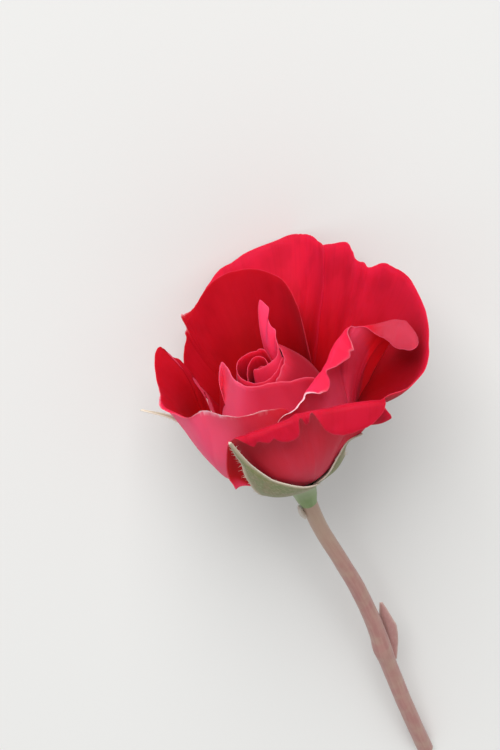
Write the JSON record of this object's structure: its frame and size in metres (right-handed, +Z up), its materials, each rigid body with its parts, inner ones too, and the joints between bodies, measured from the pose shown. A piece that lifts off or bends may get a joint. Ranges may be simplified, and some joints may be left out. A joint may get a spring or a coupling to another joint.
{
  "type": "rose",
  "caption": "Half-open rose picked with its stem and lying on a surface: a spiral bud inside cupped outer petals with rolled rims, over pointed sepals and a narrow hip.",
  "frame": {"origin": "bottom centre of the bounding box of the rose as it lies, on the surface that it lies on", "axes": "+Y from the flower along the stem to its cut end, +Z up from the surface, +X across the flower"},
  "size_m": [0.0758, 0.1722, 0.0624],
  "materials": {
    "petal_back": "velvety petal, satin at the rim",
    "petal_right_back": "velvety petal, satin at the rim",
    "petal_front": "velvety petal, satin at the rim",
    "petal_left": "velvety petal, satin at the rim",
    "petal_back_left": "velvety petal, satin at the rim",
    "petal_right": "velvety petal, satin at the rim",
    "petal_inner_front": "velvety petal, satin at the rim",
    "petal_inner_right": "velvety petal, satin at the rim",
    "petal_tall": "velvety petal, satin at the rim",
    "petal_spiral_outer": "velvety petal, satin at the rim",
    "petal_spiral_inner": "velvety petal, satin at the rim",
    "petal_heart": "velvety petal, satin at the rim",
    "sepal_left_front": "matt, downy at the margins",
    "sepal_right": "matt, downy at the margins",
    "sepal_left": "matt, downy at the margins",
    "sepal_back": "matt, downy at the margins",
    "sepal_right_back": "matt, downy at the margins",
    "receptacle": "smooth with a pale bloom",
    "stem": "satin bark",
    "bract": "matt",
    "stem_scale": "matt, downy",
    "stamens": "matt",
    "styles": "matt"
  },
  "bodies": {
    "root": {"petal_back": "petal_back", "petal_right_back": "petal_right_back", "petal_front": "petal_front", "petal_left": "petal_left", "petal_back_left": "petal_back_left", "petal_right": "petal_right", "petal_inner_front": "petal_inner_front", "petal_inner_right": "petal_inner_right", "petal_tall": "petal_tall", "petal_spiral_outer": "petal_spiral_outer", "petal_spiral_inner": "petal_spiral_inner", "petal_heart": "petal_heart", "sepal_left_front": "sepal_left_front", "sepal_right": "sepal_right", "sepal_left": "sepal_left", "sepal_back": "sepal_back", "sepal_right_back": "sepal_right_back", "receptacle": "receptacle", "stem": "stem", "bract": "bract", "stem_scale": "stem_scale", "stamens": "stamens", "styles": "styles"}
  },
  "joints": []
}
